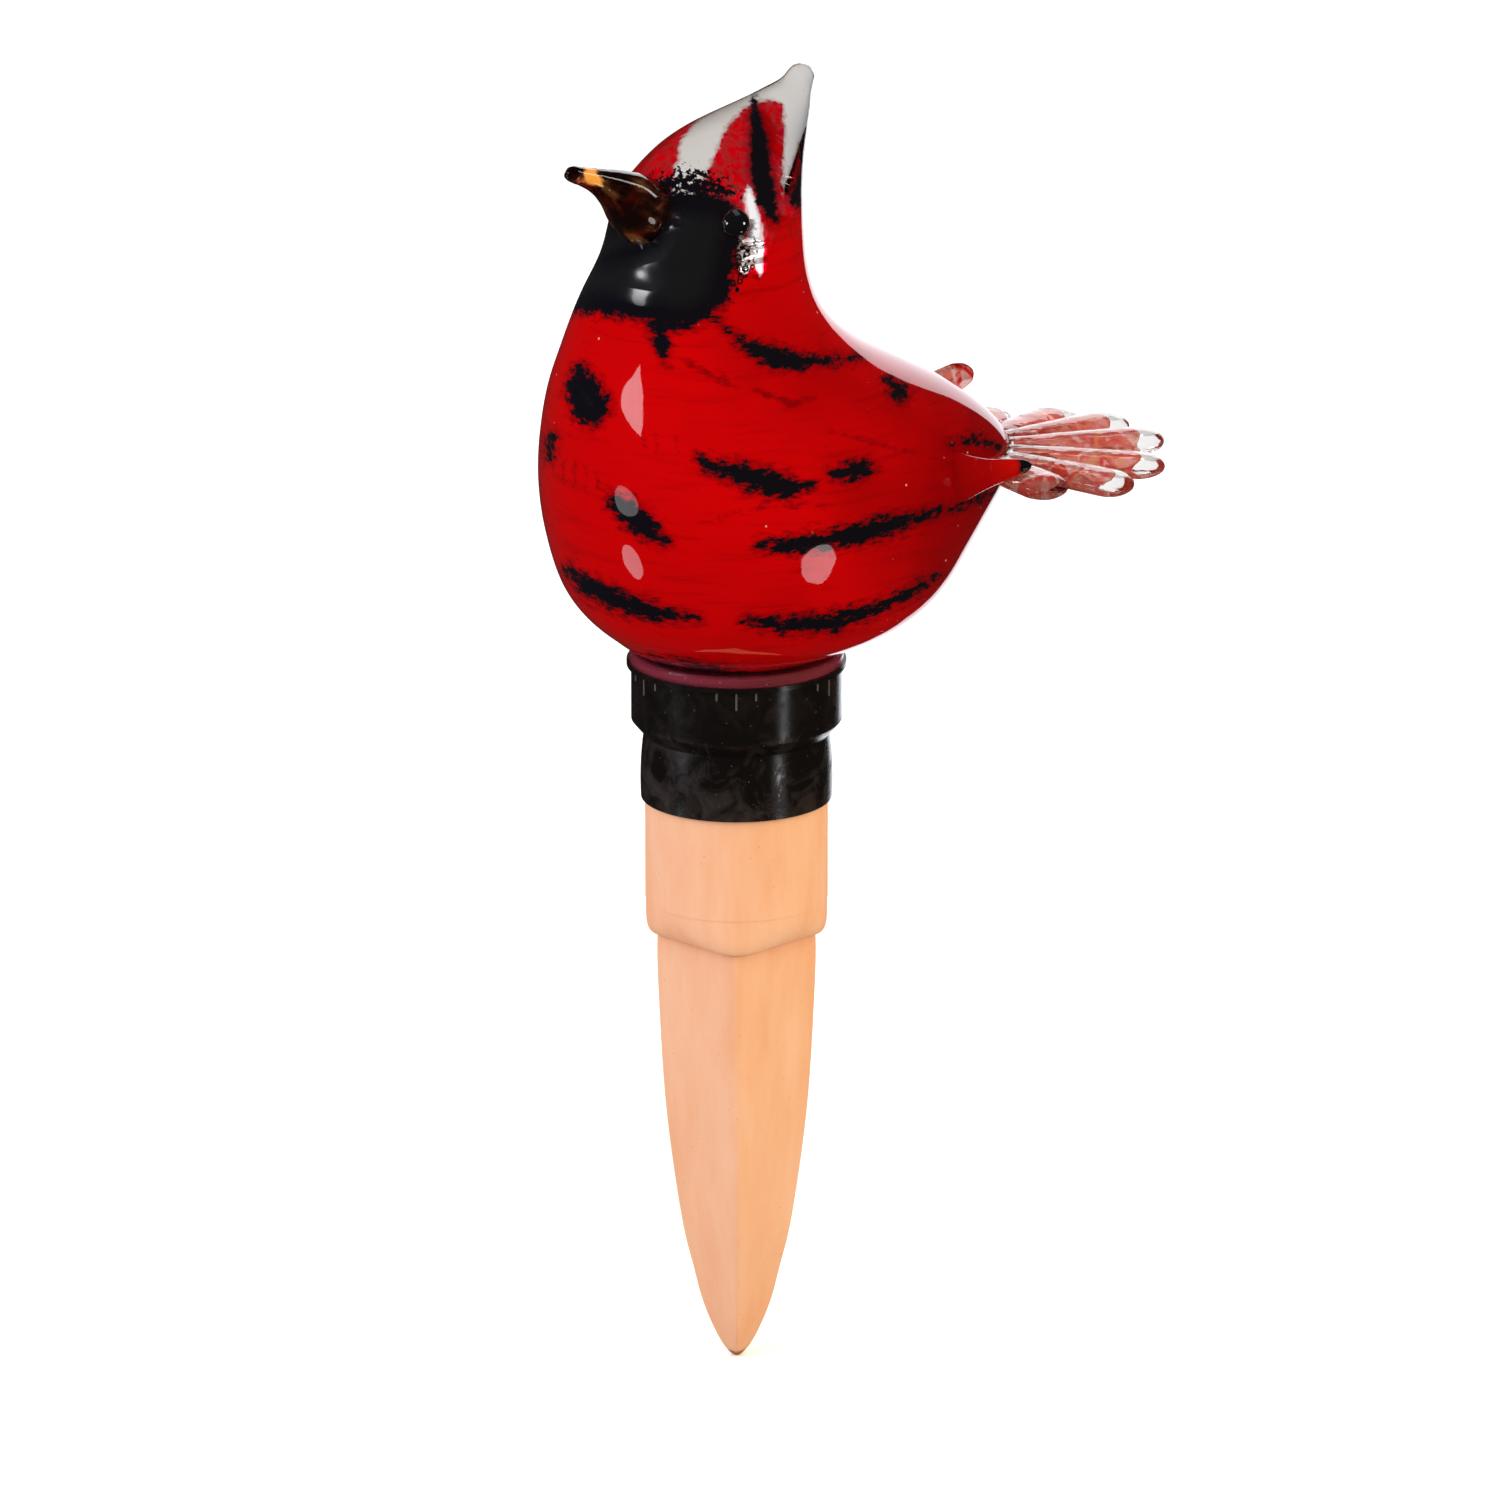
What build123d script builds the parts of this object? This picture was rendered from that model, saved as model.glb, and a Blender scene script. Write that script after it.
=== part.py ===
"""A watering globe: a blown glass bird that holds water and stands, neck down, in a rubber collar on a
hollow terracotta spike.

The frame has +Z up. Its origin is on the spike's axis at the soil line, the lower rim of the collar.
The bird's chest faces -Y and its tail +Y. All lengths are in millimetres and all angles in degrees.
"""

from build123d import *
import math
import os

os.makedirs("parts", exist_ok=True)

# Shared clearance and the overrun of every cut
running_gap = 0.05
overrun = 1.0

# Terracotta spike
spike_depth = 130.0  # soil line to tip
spike_half_flat = 12.6  # axis to the middle of a face, just under the shoulder
spike_turn = 33.0  # the four faces against the X axis
spike_wall = 4.3
socket_radius = 20.0
socket_bore_radius = 15.5
socket_rise = 9.4  # hidden in the collar, above the soil line
socket_depth = 23.0  # round and straight, below the soil line
shoulder_length = 8.5
corner_share = 0.1  # corner radius of the spike, of its half flat
round_share = 0.995  # the same at the round end of the shoulder
shoulder_step = 0.15  # the shoulder starts this far inside the socket's skin
ogive_power_share = 0.6
shoulder_level_shares = [0.0, 0.3, 0.55, 0.76, 0.91, 1.0]  # of shoulder_length, round to square
ogive_level_shares = [0.0, 0.16, 0.32, 0.48, 0.62, 0.74, 0.84, 0.915, 0.965, 0.988, 0.998]  # shoulder to tip
hollow_level_shares = [0.0, 0.2, 0.4, 0.6, 0.74, 0.85]

# Rubber collar
collar_height = 31.1
ring_radius = 23.0
ring_height = 12.2
lip_radius = 24.0
lip_height = 1.1
waist_radius = 20.3
waist_drop = 3.2  # slope from the ring down to the skirt
bulge_radius = 21.0
bulge_height = 5.0
hem_radius = 20.9
web_height = 2.2
water_way_radius = 11.0
plug_length = 7.0
plug_wall = 1.7
tick_groups = 6
tick_pitch = 10.6  # between the ticks of a group
tick_turn = -12.0  # the first group against the X axis
tick_width = 0.45
tick_relief = 0.3
long_tick = 4.0
short_tick = 1.9

# Neck gasket
flange_radius = 23.4
flange_height = 2.5
flange_round = 0.8
sleeve_wall = 1.9

# Glass bird
neck_radius = 15.0
neck_wall = 3.0
neck_end_gap = 0.5  # between the neck's mouth and the collar's web
glass_wall = 3.0
bird_height = 128.0  # seat on the gasket to the top of the crest
chest_reach = 44.0  # axis to the chest
rump_reach = 59.0  # axis to the root of the tail
bird_half_width = 43.0
crest_tip_radius = 3.4
head_turn = 32.0  # towards +X
section_points = 12

# Levels of the bird, from its seat to its crest: height, of bird_height; front, of chest_reach; back, of
# rump_reach; half width, of bird_half_width; narrowing towards the tail; turn, of head_turn; and how far
# the hollow's level rises to keep the wall where the skin leans, of glass_wall
bird_level_shares = [
    (0.000, 0.470, 0.345, 0.480, 0.00, 0.0, 1.0),
    (0.026, 0.610, 0.495, 0.635, 0.02, 0.0, 1.0),
    (0.063, 0.740, 0.675, 0.790, 0.08, 0.0, 0.7),
    (0.112, 0.850, 0.795, 0.895, 0.15, 0.0, 0.5),
    (0.179, 0.920, 0.890, 0.965, 0.22, 0.0, 0.3),
    (0.251, 0.960, 0.985, 1.000, 0.29, 0.0, 0.1),
    (0.323, 0.970, 1.040, 1.000, 0.32, 0.0, 0.0),
    (0.394, 0.955, 0.945, 0.965, 0.27, 0.0, -0.4),
    (0.461, 0.925, 0.745, 0.885, 0.18, 0.0, -0.7),
    (0.522, 0.875, 0.500, 0.775, 0.08, 0.0, -0.8),
    (0.578, 0.825, 0.350, 0.680, 0.02, 0.1, -0.7),
    (0.645, 0.760, 0.265, 0.585, 0.00, 0.4, -0.4),
    (0.716, 0.700, 0.225, 0.510, 0.00, 0.8, -0.3),
    (0.803, 0.650, 0.215, 0.460, 0.00, 1.0, -0.3),
    (0.859, 0.560, 0.265, 0.360, 0.00, 1.0, -0.4),
    (0.905, 0.410, 0.325, 0.250, 0.00, 1.0, -0.6),
    (0.927, 0.240, 0.350, 0.190, 0.00, 1.0, 0.0),
    (0.944, 0.010, 0.360, 0.142, 0.00, 1.0, 0.0),
    (0.958, -0.165, 0.370, 0.108, 0.00, 1.0, 0.0),
    (0.974, -0.367, 0.381, 0.073, 0.00, 1.0, 0.0),
]
face_level_shares = bird_level_shares[13]  # carries the beak and the eyes
solid_crest_levels = 4  # levels under the crest's tip that the hollow doesn't reach

# Beak
beak_length = 20.0  # out from the face, along the way the head looks
beak_lift = 12.2
beak_root_depth = 2.5  # starts inside the head
beak_root_drop = 1.5
beak_root_radius = 9.2
beak_tip_radius = 2.2
beak_sag = 1.7  # how far the beak arches up from straight
beak_level_shares = [(0.0, 1.0), (0.14, 0.87), (0.3, 0.7), (0.5, 0.49), (0.74, 0.31), (1.0, 0.235)]

# Eyes
eye_radius = 3.6
eye_sink = 1.5  # bead centre under the face's skin
eye_spread = 63.0  # from the way the head looks

# Wings, drawn out from the flanks
wing_root_half_height = 11.0
wing_tip_half_height = 3.6
wing_width_share = 0.75  # of its height
wing_root_places_share = (0.5, 0.42)  # of bird_half_width, of rump_reach
wing_tip_places_share = (0.66, 1.01)
wing_root_rise_share = 0.3  # of bird_height
wing_tip_rise_shares = {"right": 0.358, "left": 0.403}

# Tail feathers, a fan behind the rump
tail_length = 36.4  # rump to the tip of the middle feather
tail_half_spread = 35.0
feather_half_width = 5.8
feather_root_half_width = 4.4
feather_height_share = 0.48  # of its width
feather_root_depth = 10.0  # the fan's centre lies inside the rump
tail_rise_share = 0.323  # of bird_height
# Tips from the middle feather outwards: spread, of tail_half_spread; reach, of tail_length; drop, of a
# feather's half width
feather_tip_shares = [(0.0, 1.0, 0.0), (0.54, 0.88, 0.15), (0.86, 0.6, 0.3), (0.93, 0.14, 0.2)]

# Places that follow from the sizes above
shoulder_depth = socket_depth + shoulder_length
web_base = socket_rise
web_top = web_base + web_height
ring_base = collar_height - lip_height - ring_height
collar_bore_radius = neck_radius + sleeve_wall + 2 * running_gap
bird_seat = collar_height + flange_height
face_height = bird_seat + bird_height * face_level_shares[0]


def square_level(half_flat, radius_share, depth):
    """Sketch one level of the spike: a square with rounded corners."""
    with BuildSketch(Plane.XY.offset(-depth)) as level:
        RectangleRounded(2 * half_flat, 2 * half_flat, radius_share * half_flat, rotation=spike_turn)
    return level.sketch


def ogive_half_flat(share):
    """Half flat of the spike, share of the way from the shoulder to the tip."""
    return spike_half_flat * (1 - share**2) ** ogive_power_share


def ogive_depth(share):
    """Depth of that level."""
    return shoulder_depth + share * (spike_depth - shoulder_depth)


def shoulder_level(share):
    """Sketch one level of the shoulder, share of the way from the round socket to the square spike."""
    fullness = math.sqrt(1 - share**2)
    half_flat = spike_half_flat + (socket_radius - shoulder_step - spike_half_flat) * fullness
    radius_share = corner_share + (round_share - corner_share) * fullness
    return square_level(half_flat, radius_share, socket_depth + share * shoulder_length)


def bird_point(shares, angle, inset=0.0):
    """Point on the bird's skin at one level. Angle 0 is the back and 90 the +X side."""
    height, front, back, width, narrowing, turn, rise = shares
    front = chest_reach * front - inset
    back = rump_reach * back - inset
    across = (bird_half_width * width - inset) * math.sin(math.radians(angle))
    across *= 1 - narrowing * math.cos(math.radians(angle))
    along = (back - front) / 2 + (back + front) / 2 * math.cos(math.radians(angle))
    level = bird_seat + bird_height * height + inset * rise
    return Vector(across, along, level).rotate(Axis.Z, head_turn * turn)


def bird_level(shares, inset=0.0):
    """Sketch one level of the bird, an egg with its narrow end at the tail."""
    points = [bird_point(shares, step * 360 / section_points, inset) for step in range(section_points)]
    with BuildSketch(Plane.XY.offset(points[0].Z)) as level:
        with BuildLine():
            Spline([(point.X, point.Y) for point in points], periodic=True)
        make_face()
    return level.sketch


def ellipse_level(centre, direction, half_width, half_height):
    """Sketch one level of a drawn-out piece of glass, square to its direction."""
    plane = Plane(origin=centre, x_dir=direction.cross(Vector(0, 0, 1)), z_dir=direction)
    with BuildSketch(plane) as level:
        Ellipse(half_width, half_height)
    return level.sketch


def drawn_glass(root, tip, root_radius, tip_radius, width_share, height_share):
    """Piece of glass drawn out from root to tip with a round end, then flattened to its width and height."""
    run = tip - root
    with BuildPart() as drawn:
        with BuildSketch(Plane.XZ):
            with BuildLine():
                end = CenterArc((0, run.length - tip_radius), tip_radius, 0, 90)
                side = Spline((root_radius, 0), end @ 0, tangents=((0, 1), (0, 1)))
                Polyline(end @ 1, (0, 0), side @ 0)
            make_face()
        revolve(axis=Axis.Z)
        scale(by=(width_share, height_share, 1))
    place = Plane(origin=root, x_dir=run.cross(Vector(0, 0, 1)), z_dir=run)
    return drawn.part.moved(place.location)


# Terracotta spike: round socket, shoulder from round to square, then the four-sided ogive, hollow inside
with BuildPart() as terracotta_spike:
    with BuildSketch(Plane.XY.offset(-socket_depth)):
        Circle(socket_radius)
    extrude(amount=socket_depth + socket_rise)
    loft(sections=[shoulder_level(share) for share in shoulder_level_shares])
    loft(sections=[square_level(ogive_half_flat(s), corner_share, ogive_depth(s)) for s in ogive_level_shares])
    with BuildSketch(Plane.XY.offset(socket_rise)):
        Circle(socket_bore_radius)
    extrude(amount=-(socket_rise + socket_depth), mode=Mode.SUBTRACT)
    hollow = [square_level(spike_half_flat - spike_wall, corner_share, socket_depth - overrun)]
    hollow += [
        square_level(ogive_half_flat(s) - spike_wall, corner_share, ogive_depth(s)) for s in hollow_level_shares
    ]
    loft(sections=hollow, mode=Mode.SUBTRACT)
terracotta_spike.part.label = "terracotta_spike"
export_step(terracotta_spike.part, "parts/terracotta_spike.step")

# Rubber collar: a ring round the gasket, a skirt round the socket, a web between them and a plug below it
plug_radius = socket_bore_radius - running_gap
with BuildPart() as rubber_collar:
    with BuildSketch(Plane.XZ):
        with BuildLine():
            ring = Polyline(
                (collar_bore_radius, web_top),
                (collar_bore_radius, collar_height),
                (lip_radius, collar_height),
                (lip_radius, collar_height - lip_height),
                (ring_radius, collar_height - lip_height),
                (ring_radius, ring_base),
                (waist_radius, ring_base - waist_drop),
            )
            skirt = ThreePointArc(ring @ 1, (bulge_radius, bulge_height), (hem_radius, 0))
            Polyline(
                skirt @ 1,
                (socket_radius + running_gap, 0),
                (socket_radius + running_gap, web_base),
                (plug_radius, web_base),
                (plug_radius, web_base - plug_length),
                (plug_radius - plug_wall, web_base - plug_length),
                (plug_radius - plug_wall, web_base),
                (water_way_radius, web_base),
                (water_way_radius, web_top),
                ring @ 0,
            )
        make_face()
    revolve(axis=Axis.Z)
    for place, length in ((-1, short_tick), (0, long_tick), (1, short_tick)):
        with PolarLocations(ring_radius, tick_groups, start_angle=tick_turn + place * tick_pitch):
            with Locations((0, 0, collar_height - lip_height)):
                Box(2 * tick_relief, tick_width, length, align=(Align.CENTER, Align.CENTER, Align.MAX))
rubber_collar.part.label = "rubber_collar"
export_step(rubber_collar.part, "parts/rubber_collar.step")

# Neck gasket: a clear sleeve in the collar's bore, with a flange under the bird
with BuildPart() as neck_gasket:
    with BuildSketch(Plane.XZ):
        with BuildLine():
            Polyline(
                (neck_radius + running_gap, web_top),
                (neck_radius + running_gap + sleeve_wall, web_top),
                (neck_radius + running_gap + sleeve_wall, collar_height),
                (flange_radius, collar_height),
                (flange_radius, bird_seat),
                (neck_radius + running_gap, bird_seat),
                (neck_radius + running_gap, web_top),
            )
        make_face()
    revolve(axis=Axis.Z)
    fillet(neck_gasket.edges().group_by(Axis.Z)[-1].sort_by(SortBy.RADIUS)[-1], flange_round)
neck_gasket.part.label = "neck_gasket"
export_step(neck_gasket.part, "parts/neck_gasket.step")

# The bird's outer form, solid, to which every glass piece on it is cut
crest_axis = (bird_point(bird_level_shares[-1], 0) + bird_point(bird_level_shares[-1], 180)) / 2
with BuildPart() as bird_form:
    loft(sections=[bird_level(shares) for shares in bird_level_shares])
    with Locations(crest_axis):
        Sphere(crest_tip_radius)

# Glass body: the blown bird, hollow up into its crest, with its open neck
with BuildPart() as glass_body:
    add(bird_form.part)
    with BuildSketch(Plane.XY.offset(bird_seat)):
        Circle(neck_radius)
    extrude(amount=web_top + neck_end_gap - bird_seat)
    loft(
        sections=[bird_level(shares, glass_wall) for shares in bird_level_shares[:-solid_crest_levels]],
        mode=Mode.SUBTRACT,
    )
    with BuildSketch(Plane.XY.offset(web_top + neck_end_gap)):
        Circle(neck_radius - neck_wall)
    extrude(amount=bird_seat + glass_wall + overrun - web_top - neck_end_gap, mode=Mode.SUBTRACT)
glass_body.part.label = "glass_body"
export_step(glass_body.part, "parts/glass_body.step")

# Beak: amber glass, curving up and forward from the face to a small bead
face_way = Vector(0, -1, 0).rotate(Axis.Z, head_turn)
face_plane = Plane(origin=(0, 0, face_height), x_dir=face_way, z_dir=face_way.cross(Vector(0, 0, 1)))
face_reach = chest_reach * face_level_shares[1]
with BuildLine(face_plane) as beak_line:
    SagittaArc(
        (face_reach - beak_root_depth, -beak_root_drop),
        (face_reach + beak_length, beak_lift),
        beak_sag,
    )
beak_path = beak_line.edges()[0]
with BuildPart() as beak:
    loft(
        sections=[
            ellipse_level(beak_path @ along, beak_path % along, beak_root_radius * size, beak_root_radius * size)
            for along, size in beak_level_shares
        ]
    )
    with Locations(beak_path @ 1):
        Sphere(beak_tip_radius)
    add(bird_form.part, mode=Mode.SUBTRACT)
beak.part.label = "beak"
export_step(beak.part, "parts/beak.step")

# Eyes: glass beads, half sunk at the sides of the face
for side, turn in (("right", 180 - eye_spread), ("left", 180 + eye_spread)):
    with BuildPart() as eye:
        with Locations(bird_point(face_level_shares, turn, eye_sink)):
            Sphere(eye_radius)
        add(bird_form.part, mode=Mode.SUBTRACT)
    eye.part.label = f"eye_{side}"
    export_step(eye.part, f"parts/eye_{side}.step")

# Wings: red glass drawn out backwards from each flank, the left one a little higher
wings = {}
for side, way in (("right", 1), ("left", -1)):
    root_spread, root_reach = wing_root_places_share
    tip_spread, tip_reach = wing_tip_places_share
    root = Vector(
        way * root_spread * bird_half_width,
        root_reach * rump_reach,
        bird_seat + bird_height * wing_root_rise_share,
    )
    tip = Vector(
        way * tip_spread * bird_half_width,
        tip_reach * rump_reach,
        bird_seat + bird_height * wing_tip_rise_shares[side],
    )
    with BuildPart() as wing:
        add(drawn_glass(root, tip, wing_root_half_height, wing_tip_half_height, wing_width_share, 1))
        add(bird_form.part, mode=Mode.SUBTRACT)
    wings[side] = wing.part
    wing.part.label = f"wing_{side}"
    export_step(wing.part, f"parts/wing_{side}.step")

# Tail feathers: a fan of seven, each one cut to those nearer the middle
tail_height = bird_seat + bird_height * tail_rise_share
fan_centre = Vector(0, rump_reach - feather_root_depth, tail_height)
laid = list(wings.values())
for rank, (spread, reach, drop) in enumerate(feather_tip_shares):
    for way in (-1, 1) if rank else (1,):
        number = len(feather_tip_shares) + way * rank
        tip = Vector(
            way * spread * tail_half_spread,
            rump_reach + reach * tail_length,
            tail_height - drop * feather_half_width,
        )
        with BuildPart() as feather:
            add(drawn_glass(fan_centre, tip, feather_root_half_width, feather_half_width, 1, feather_height_share))
            add(bird_form.part, mode=Mode.SUBTRACT)
            add(laid, mode=Mode.SUBTRACT)
        laid.append(feather.part)
        feather.part.label = f"tail_feather_{number}"
        export_step(feather.part, f"parts/tail_feather_{number}.step")
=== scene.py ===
"""Watering globe: a blown glass cardinal on a terracotta spike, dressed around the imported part."""

import bmesh
import bpy
import numpy as np
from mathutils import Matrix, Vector


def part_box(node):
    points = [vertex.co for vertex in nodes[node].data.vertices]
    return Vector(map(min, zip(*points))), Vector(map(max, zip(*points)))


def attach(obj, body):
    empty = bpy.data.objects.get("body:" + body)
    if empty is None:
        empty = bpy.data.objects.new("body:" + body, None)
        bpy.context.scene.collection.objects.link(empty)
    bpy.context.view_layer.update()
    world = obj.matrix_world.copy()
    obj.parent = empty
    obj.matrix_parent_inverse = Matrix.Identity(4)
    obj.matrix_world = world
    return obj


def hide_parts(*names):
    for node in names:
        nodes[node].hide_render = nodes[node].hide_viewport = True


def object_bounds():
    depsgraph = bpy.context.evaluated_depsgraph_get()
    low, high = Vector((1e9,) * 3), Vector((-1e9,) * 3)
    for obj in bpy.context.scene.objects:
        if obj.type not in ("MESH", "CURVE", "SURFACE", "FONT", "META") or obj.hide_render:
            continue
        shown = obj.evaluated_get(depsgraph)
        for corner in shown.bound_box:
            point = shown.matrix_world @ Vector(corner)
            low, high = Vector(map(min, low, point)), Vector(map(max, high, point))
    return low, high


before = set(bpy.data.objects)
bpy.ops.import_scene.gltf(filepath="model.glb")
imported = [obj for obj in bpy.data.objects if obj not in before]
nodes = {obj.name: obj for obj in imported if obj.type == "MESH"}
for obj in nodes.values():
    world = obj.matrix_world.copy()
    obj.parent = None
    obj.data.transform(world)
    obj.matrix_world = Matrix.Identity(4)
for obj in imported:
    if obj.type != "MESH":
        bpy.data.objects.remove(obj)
cad_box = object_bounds()


# Camera: a long lens at the photograph's angle, three metres off, so that the square spike keeps its
# straight sides. All the lines drawn on the glass are measured across and up this same view.
view_azimuth = np.radians(78.0)
view_elevation = np.radians(17.0)
camera_distance = 3.0
field_width = 0.3279
sensor_width = 36.0
aim_across = 0.00295
aim_up = 0.00962
view_depth = 20.0
towards_camera = np.array(
    [
        np.sin(view_azimuth) * np.cos(view_elevation),
        -np.cos(view_azimuth) * np.cos(view_elevation),
        np.sin(view_elevation),
    ]
)
view_right = np.array([np.cos(view_azimuth), np.sin(view_azimuth), 0.0])
view_up = np.cross(towards_camera, view_right)
camera = bpy.data.objects.new("camera", bpy.data.cameras.new("camera"))
bpy.context.collection.objects.link(camera)
aim = aim_across * view_right + aim_up * view_up
camera.location = Vector(aim + camera_distance * towards_camera)
camera.rotation_euler = Vector(towards_camera).to_track_quat("Z", "Y").to_euler()
camera.data.sensor_width = sensor_width
camera.data.lens = sensor_width * camera_distance / field_width
camera.data.clip_end = view_depth
bpy.context.scene.camera = camera
bpy.context.scene.view_settings.view_transform = "Standard"


# Floor and backdrop: a pale matte floor under the spike's tip. The air behind is white to the camera and
# through glass, and dim in reflections, as in a studio where only the softboxes show in polished glass.
floor_reach = 6.0
floor_grey = (0.62, 0.62, 0.62, 1.0)
floor_white = (1.0, 1.0, 1.0, 1.0)
floor_gain = 1.3
room_light = 0.78
mirrored_light = 0.02


def new_finish(name):
    """A material with its node tree and its Principled shader."""
    finish = bpy.data.materials.new(name)
    finish.use_nodes = True
    return finish, finish.node_tree, finish.node_tree.nodes["Principled BSDF"]


def add(tree, kind, sockets=None, **settings):
    """A node with its settings, and with its inputs set to values or linked to other nodes' outputs."""
    node = tree.nodes.new(kind)
    for setting, value in settings.items():
        setattr(node, setting, value)
    for socket, value in (sockets or {}).items():
        if isinstance(value, bpy.types.NodeSocket):
            tree.links.new(value, node.inputs[socket])
        else:
            node.inputs[socket].default_value = value
    return node


def reckon(tree, operation, *values, **settings):
    """One step of arithmetic on values or on other nodes' outputs."""
    return add(tree, "ShaderNodeMath", dict(enumerate(values)), operation=operation, **settings).outputs[0]


def between(tree, share, first, second):
    """A shader that goes over from the first to the second with this share, from 0 to 1."""
    return add(tree, "ShaderNodeMixShader", {0: share, 1: first.outputs[0], 2: second.outputs[0]})


floor_mesh = bpy.data.meshes.new("floor")
floor_level = cad_box[0].z
turns = [(-1, -1), (1, -1), (1, 1), (-1, 1)]
corners = [(floor_reach * x, floor_reach * y, floor_level) for x, y in turns]
floor_mesh.from_pydata(corners, [], [(0, 1, 2, 3)])
floor = bpy.data.objects.new("floor", floor_mesh)
bpy.context.collection.objects.link(floor)
floor.visible_glossy = False
finish, tree, shader = new_finish("pale floor")
tree.nodes.remove(shader)
ray = add(tree, "ShaderNodeLightPath")
pale = add(tree, "ShaderNodeBsdfDiffuse", {"Color": floor_grey})
bright = add(tree, "ShaderNodeBsdfDiffuse", {"Color": floor_white})
extra = add(tree, "ShaderNodeBsdfDiffuse", {"Color": [floor_gain - 1.0] * 3 + [1.0]})
gained = add(tree, "ShaderNodeAddShader", {0: bright.outputs[0], 1: extra.outputs[0]})
seen = between(tree, ray.outputs["Is Camera Ray"], pale, gained)
tree.links.new(seen.outputs[0], tree.nodes["Material Output"].inputs["Surface"])
floor_mesh.materials.append(finish)

world = bpy.data.worlds.new("studio")
bpy.context.scene.world = world
world.use_nodes = True
tree = world.node_tree
tree.nodes.clear()
ray = add(tree, "ShaderNodeLightPath")
white = add(tree, "ShaderNodeBackground", {"Color": (1, 1, 1, 1), "Strength": 1.0})
room = add(tree, "ShaderNodeBackground", {"Color": (1, 1, 1, 1), "Strength": room_light})
dim = add(tree, "ShaderNodeBackground", {"Color": (1, 1, 1, 1), "Strength": mirrored_light})
seen = reckon(tree, "MAXIMUM", ray.outputs["Is Camera Ray"], ray.outputs["Is Transmission Ray"])
reflected = between(tree, ray.outputs["Is Glossy Ray"], room, dim)
backdrop = between(tree, seen, reflected, white)
add(tree, "ShaderNodeOutputWorld", {"Surface": backdrop.outputs[0]})


# Lamps: softboxes round the object, each where its reflection lands as the photograph shows it on the glass.
# A row is a lamp's direction (across, up, towards the camera), its width and height in metres, its glow, its
# shape and its tint. Lamps named after the eyes, the beak and the collar light only those.
lamp_distance = 1.0
lamp_centre = Vector((0.02, 0.0, 0.09))
cool_light = (0.93, 0.95, 1.0)
warm_light = (1.0, 0.71, 0.14)
rosy_light = (1.0, 0.90, 0.98)
lamps = {
    "chest_strip": ((-0.86, 0.38, 0.44), (0.36, 0.15), 6.5, "RECTANGLE", cool_light),
    "mask_patch": ((-0.93, -0.20, 0.30), (0.30, 0.20), 2.0, "ELLIPSE", cool_light),
    "low_left_disk": ((-0.80, -0.60, 0.06), (0.2, 0.28), 3.0, "ELLIPSE", cool_light),
    "low_right_disk": ((0.70, -0.65, 0.29), (0.24, 0.24), 3.5, "ELLIPSE", cool_light),
    "back_sheet": ((0.24, 0.18, -0.94), (0.47, 1.3), 2.0, "RECTANGLE", cool_light),
    "right_fill": ((0.75, 0.2, 0.6), (1.0, 1.2), 1.43, "RECTANGLE", warm_light),
    "left_fill": ((-0.75, 0.3, 0.6), (1.0, 1.2), 0.80, "RECTANGLE", rosy_light),
    "beak_strip": ((0.84, 0.55, 0.05), (0.14, 0.4), 7.0, "RECTANGLE", cool_light),
    "collar_spot": ((0.76, -0.42, 0.47), (0.12, 0.16), 22.0, "ELLIPSE", cool_light),
    "eye_sheet_left": ((-0.95, 0.1, 0.1), (0.5, 0.9), 1.1, "RECTANGLE", rosy_light),
    "eye_sheet_top": ((0.2, 0.95, 0.1), (0.8, 0.5), 1.1, "RECTANGLE", rosy_light),
    "eye_lamp_left": ((-0.63, 0.16, 0.76), (0.26, 0.26), 16.0, "ELLIPSE", cool_light),
    "eye_lamp_right": ((0.95, 0.14, 0.29), (0.26, 0.26), 16.0, "ELLIPSE", cool_light),
}
lit_only = {part: bpy.data.collections.new(f"lit_{part}") for part in ("eye", "beak", "collar")}
for name, (direction, (width, height), glow, shape, tint) in lamps.items():
    lamp = bpy.data.objects.new(name, bpy.data.lights.new(name, "AREA"))
    bpy.context.collection.objects.link(lamp)
    way = Vector(np.array(direction) @ np.array([view_right, view_up, towards_camera])).normalized()
    lamp.location = lamp_centre + lamp_distance * way
    lamp.rotation_euler = way.to_track_quat("Z", "Y").to_euler()
    lamp.data.shape = shape
    lamp.data.size = width
    lamp.data.size_y = height
    lamp.data.energy = glow * np.pi * width * height
    lamp.data.color = tint
    lamp.visible_camera = False
    lamp.visible_glossy = not name.endswith("fill")
    part = name.split("_")[0]
    if part in lit_only:
        lamp.light_linking.receiver_collection = lit_only[part]


# Terracotta spike: low-fired clay, pressed in a mould and left unglazed, so that water seeps through it. Its
# colour drifts a little and its face has fine grit and open pores. The crease under the socket and the pores
# are darker with painted shade.
def worn(piece, finish):
    """Gives a piece's only material slot this finish."""
    piece.data.materials.clear()
    piece.data.materials.append(finish)


def noise(tree, place, **sockets):
    """A cloudy pattern over these coordinates, from 0 to 1. The sockets are named in small letters."""
    named = {socket.title(): value for socket, value in sockets.items()}
    return add(tree, "ShaderNodeTexNoise", {"Vector": place, **named}).outputs["Fac"]


def remap(tree, value, start=0.0, end=1.0, low=0.0, high=1.0, **settings):
    """The value's run from start to end, moved so that it goes from low to high."""
    sockets = {"Value": value, "From Min": start, "From Max": end, "To Min": low, "To Max": high}
    return add(tree, "ShaderNodeMapRange", sockets, **settings).outputs[0]


def blend(tree, share, first, second):
    """A colour that goes over from the first to the second with this share, from 0 to 1."""
    factor, colour_a, colour_b, colour_out = 0, 6, 7, 2
    sockets = {factor: share, colour_a: first, colour_b: second}
    return add(tree, "ShaderNodeMix", sockets, data_type="RGBA").outputs[colour_out]


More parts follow.
